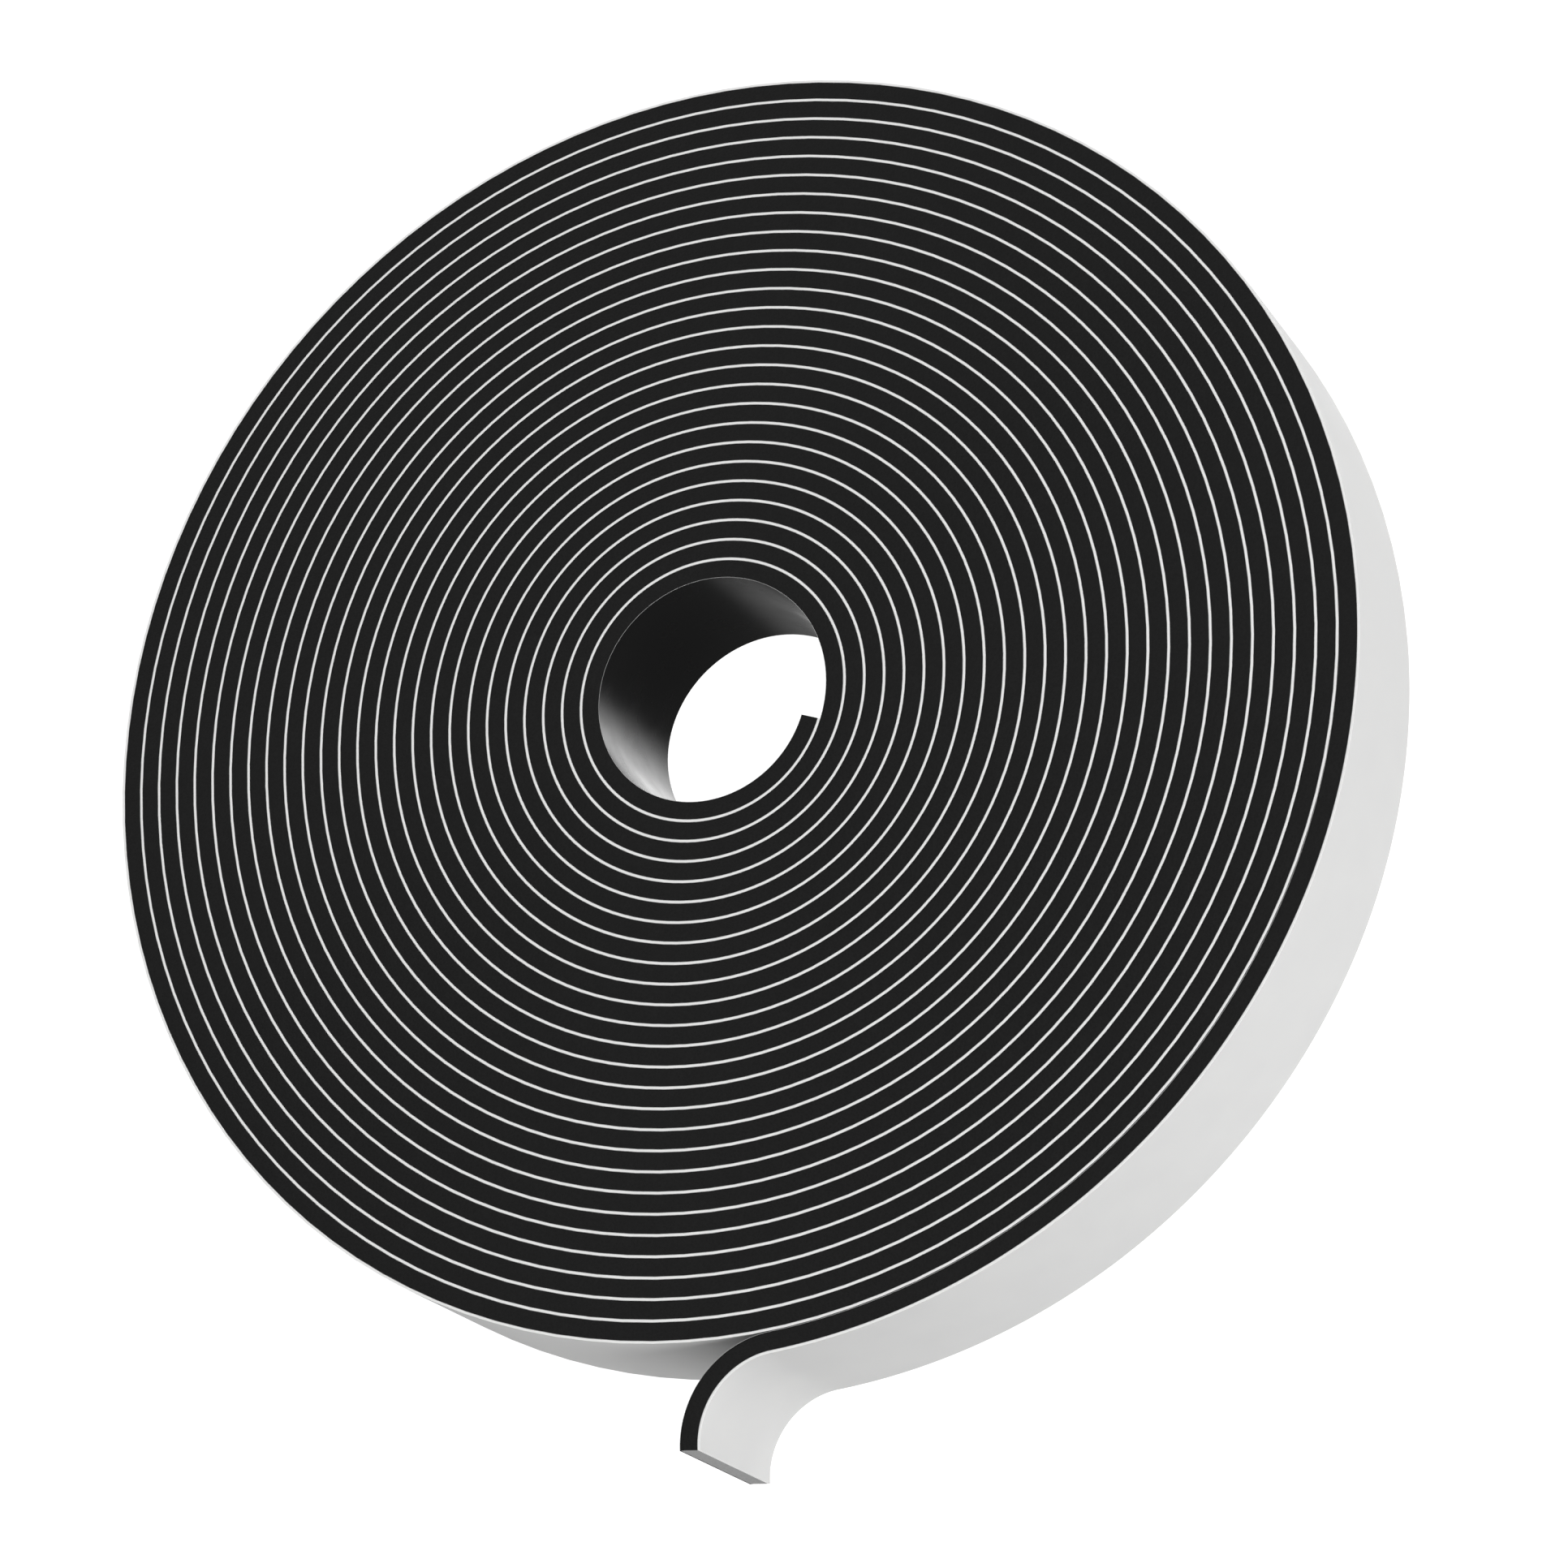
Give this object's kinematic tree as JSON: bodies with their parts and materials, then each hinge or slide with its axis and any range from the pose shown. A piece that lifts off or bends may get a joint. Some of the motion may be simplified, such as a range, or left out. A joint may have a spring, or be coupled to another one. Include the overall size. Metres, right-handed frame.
{
  "type": "roll of foam tape",
  "caption": "Coreless roll of black double-sided foam tape with a white release liner, wound flat, its free end lifted and curled.",
  "frame": {"origin": "on the axis of the winding, in the plane of the roll's lower face", "axes": "+Z along the roll's axis, up through the hole; the lifted end points to -Y; the strip unwinds clockwise seen from +Z"},
  "size_m": [0.204, 0.2184, 0.0264],
  "materials": {
    "foam": "matte, fine closed cells on the cut edges",
    "adhesive": "clear, wet gloss",
    "liner": "satin siliconised film"
  },
  "bodies": {
    "coil": {"inner_adhesive_coil": "adhesive", "foam_coil": "foam", "outer_adhesive_coil": "adhesive", "liner_coil": "liner"},
    "wrap_1": {"inner_adhesive_wrap_1": "adhesive", "foam_wrap_1": "foam", "outer_adhesive_wrap_1": "adhesive", "liner_wrap_1": "liner"},
    "wrap_2": {"inner_adhesive_wrap_2": "adhesive", "foam_wrap_2": "foam", "outer_adhesive_wrap_2": "adhesive", "liner_wrap_2": "liner"},
    "wrap_3": {"inner_adhesive_wrap_3": "adhesive", "foam_wrap_3": "foam", "outer_adhesive_wrap_3": "adhesive", "liner_wrap_3": "liner"},
    "wrap_4": {"inner_adhesive_wrap_4": "adhesive", "foam_wrap_4": "foam", "outer_adhesive_wrap_4": "adhesive", "liner_wrap_4": "liner"},
    "wrap_5": {"inner_adhesive_wrap_5": "adhesive", "foam_wrap_5": "foam", "outer_adhesive_wrap_5": "adhesive", "liner_wrap_5": "liner"},
    "wrap_6": {"inner_adhesive_wrap_6": "adhesive", "foam_wrap_6": "foam", "outer_adhesive_wrap_6": "adhesive", "liner_wrap_6": "liner"},
    "wrap_7": {"inner_adhesive_wrap_7": "adhesive", "foam_wrap_7": "foam", "outer_adhesive_wrap_7": "adhesive", "liner_wrap_7": "liner"},
    "wrap_8": {"inner_adhesive_wrap_8": "adhesive", "foam_wrap_8": "foam", "outer_adhesive_wrap_8": "adhesive", "liner_wrap_8": "liner"},
    "curl_1": {"inner_adhesive_curl_1": "adhesive", "foam_curl_1": "foam", "outer_adhesive_curl_1": "adhesive", "liner_curl_1": "liner"},
    "curl_2": {"inner_adhesive_curl_2": "adhesive", "foam_curl_2": "foam", "outer_adhesive_curl_2": "adhesive", "liner_curl_2": "liner"},
    "curl_3": {"inner_adhesive_curl_3": "adhesive", "foam_curl_3": "foam", "outer_adhesive_curl_3": "adhesive", "liner_curl_3": "liner"},
    "curl_4": {"inner_adhesive_curl_4": "adhesive", "foam_curl_4": "foam", "outer_adhesive_curl_4": "adhesive", "liner_curl_4": "liner"},
    "tab": {"liner_tab": "liner"}
  },
  "joints": [
    {"name": "unwind_root", "type": "hinge", "parent": "coil", "child": "wrap_1", "pos_m": [0.1006, -0.02187, 0.0132], "axis": [0, 0, 1], "range_deg": [0, 4], "stiffness_Nm_per_rad": 0.004},
    {"name": "unwind_1", "type": "hinge", "parent": "wrap_1", "child": "wrap_2", "pos_m": [0.096, -0.0374, 0.0132], "axis": [0, 0, 1], "range_deg": [0, 8], "stiffness_Nm_per_rad": 0.004},
    {"name": "unwind_2", "type": "hinge", "parent": "wrap_2", "child": "wrap_3", "pos_m": [0.08902, -0.05203, 0.0132], "axis": [0, 0, 1], "range_deg": [0, 8], "stiffness_Nm_per_rad": 0.004},
    {"name": "unwind_3", "type": "hinge", "parent": "wrap_3", "child": "wrap_4", "pos_m": [0.07985, -0.06538, 0.0132], "axis": [0, 0, 1], "range_deg": [0, 8], "stiffness_Nm_per_rad": 0.004},
    {"name": "unwind_4", "type": "hinge", "parent": "wrap_4", "child": "wrap_5", "pos_m": [0.06869, -0.07713, 0.0132], "axis": [0, 0, 1], "range_deg": [0, 8], "stiffness_Nm_per_rad": 0.004},
    {"name": "unwind_5", "type": "hinge", "parent": "wrap_5", "child": "wrap_6", "pos_m": [0.05584, -0.087, 0.0132], "axis": [0, 0, 1], "range_deg": [0, 8], "stiffness_Nm_per_rad": 0.004},
    {"name": "unwind_6", "type": "hinge", "parent": "wrap_6", "child": "wrap_7", "pos_m": [0.0416, -0.09473, 0.0132], "axis": [0, 0, 1], "range_deg": [0, 8], "stiffness_Nm_per_rad": 0.004},
    {"name": "unwind_7", "type": "hinge", "parent": "wrap_7", "child": "wrap_8", "pos_m": [0.02632, -0.10014, 0.0132], "axis": [0, 0, 1], "range_deg": [0, 8], "stiffness_Nm_per_rad": 0.004},
    {"name": "curl_root", "type": "hinge", "parent": "wrap_8", "child": "curl_1", "pos_m": [0.01039, -0.10309, 0.0132], "axis": [0, 0, 1], "range_deg": [-6.45, 2.55], "stiffness_Nm_per_rad": 0.003},
    {"name": "curl_1", "type": "hinge", "parent": "curl_1", "child": "curl_2", "pos_m": [0.00661, -0.10411, 0.0132], "axis": [0, 0, 1], "range_deg": [-21.5, 8.5], "stiffness_Nm_per_rad": 0.003},
    {"name": "curl_2", "type": "hinge", "parent": "curl_2", "child": "curl_3", "pos_m": [0.00332, -0.10624, 0.0132], "axis": [0, 0, 1], "range_deg": [-21.5, 8.5], "stiffness_Nm_per_rad": 0.003},
    {"name": "curl_3", "type": "hinge", "parent": "curl_3", "child": "curl_4", "pos_m": [0.00086, -0.10928, 0.0132], "axis": [0, 0, 1], "range_deg": [-25.8, 10.2], "stiffness_Nm_per_rad": 0.003},
    {"name": "liner_peel", "type": "hinge", "parent": "curl_4", "child": "tab", "pos_m": [0.00026, -0.11045, 0.0132], "axis": [0, 0, 1], "range_deg": [0, 110]}
  ],
  "couplings": [
    {"joint": "unwind_root", "follows": "unwind_1", "ratio": 0.5},
    {"joint": "unwind_2", "follows": "unwind_1", "ratio": 1},
    {"joint": "unwind_3", "follows": "unwind_1", "ratio": 1},
    {"joint": "unwind_4", "follows": "unwind_1", "ratio": 1},
    {"joint": "unwind_5", "follows": "unwind_1", "ratio": 1},
    {"joint": "unwind_6", "follows": "unwind_1", "ratio": 1},
    {"joint": "unwind_7", "follows": "unwind_1", "ratio": 1},
    {"joint": "curl_root", "follows": "curl_1", "ratio": 0.3},
    {"joint": "curl_2", "follows": "curl_1", "ratio": 1},
    {"joint": "curl_3", "follows": "curl_1", "ratio": 1.2}
  ]
}
